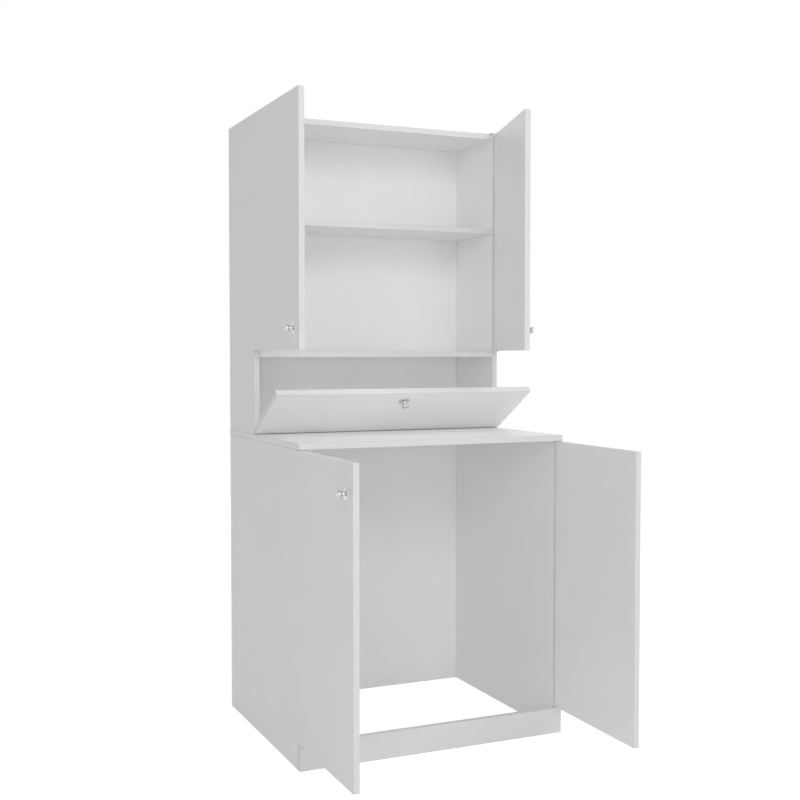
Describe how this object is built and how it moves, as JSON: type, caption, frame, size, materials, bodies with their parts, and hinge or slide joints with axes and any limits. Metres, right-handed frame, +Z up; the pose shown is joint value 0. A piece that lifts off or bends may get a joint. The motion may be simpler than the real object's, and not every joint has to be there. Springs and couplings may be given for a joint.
{
  "type": "washing machine cabinet",
  "caption": "Tall white cabinet over an open machine bay, with hinged lower doors, worktop, a drop flap and a shelved upper unit with doors and round knobs.",
  "frame": {"origin": "on the floor, at the middle of the plinth's underside (centre of the width, middle of the plinth board's thickness)", "axes": "+X to the cabinet's right as seen from the front, +Y from the front towards the wall, +Z up"},
  "size_m": [0.9206, 1.1217, 1.973],
  "materials": {
    "white_board": "satin white melamine on chipboard",
    "white_back": "white-faced hardboard",
    "chrome": "polished chrome plate",
    "steel": "zinc-plated steel",
    "white_steel": "white powder coat on steel",
    "zinc": "die-cast zinc",
    "nylon": "moulded nylon",
    "beech": "plain beech"
  },
  "bodies": {
    "cabinet": {"base_left_side": "white_board", "base_right_side": "white_board", "plinth": "white_board", "base_back": "white_back", "worktop": "white_board", "upper_left_side": "white_board", "upper_right_side": "white_board", "top_panel": "white_board", "shelf": "white_board", "divider": "white_board", "bottom_panel": "white_board", "upper_back": "white_back", "base_left_pivot_plates": "white_steel", "base_right_pivot_plates": "white_steel", "upper_left_pivot_plates": "white_steel", "upper_right_pivot_plates": "white_steel", "pivot_pins": "steel", "flap_hinge_lugs": "steel", "flap_stay_guide": "steel", "loose_tongues": "beech", "plinth_brackets": "steel", "wall_brackets": "steel"},
    "upper_left_leaf": {"upper_left_door": "white_board", "upper_left_knob": "chrome", "upper_left_bearings": "nylon"},
    "upper_right_leaf": {"upper_right_door": "white_board", "upper_right_knob": "chrome", "upper_right_bearings": "nylon"},
    "lower_left_leaf": {"lower_left_door": "white_board", "lower_left_knob": "chrome", "lower_left_bearings": "nylon"},
    "lower_right_leaf": {"lower_right_door": "white_board", "lower_right_knob": "chrome", "lower_right_bearings": "nylon"},
    "flap_leaf": {"flap": "white_board", "flap_knob": "chrome", "flap_clevises": "zinc", "flap_hinge_pins": "steel", "flap_stay_arm": "steel", "flap_stay_stop": "steel"}
  },
  "joints": [
    {"name": "upper_left_door_hinge", "type": "hinge", "parent": "cabinet", "child": "upper_left_leaf", "pos_m": [-0.42817, 0.406, 1.573], "axis": [0, 0, 1], "range_deg": [-90, 90]},
    {"name": "upper_right_door_hinge", "type": "hinge", "parent": "cabinet", "child": "upper_right_leaf", "pos_m": [0.42817, 0.406, 1.573], "axis": [0, 0, 1], "range_deg": [-73.8, 106.2]},
    {"name": "lower_left_door_hinge", "type": "hinge", "parent": "cabinet", "child": "lower_left_leaf", "pos_m": [-0.42817, -0.002, 0.5005], "axis": [0, 0, 1], "range_deg": [-89.8, 90.2]},
    {"name": "lower_right_door_hinge", "type": "hinge", "parent": "cabinet", "child": "lower_right_leaf", "pos_m": [0.42817, -0.002, 0.5005], "axis": [0, 0, 1], "range_deg": [-89.2, 90.8]},
    {"name": "flap_hinge", "type": "hinge", "parent": "cabinet", "child": "flap_leaf", "pos_m": [0, 0.406, 0.953], "axis": [1, 0, 0], "range_deg": [-59.5, 0]}
  ]
}
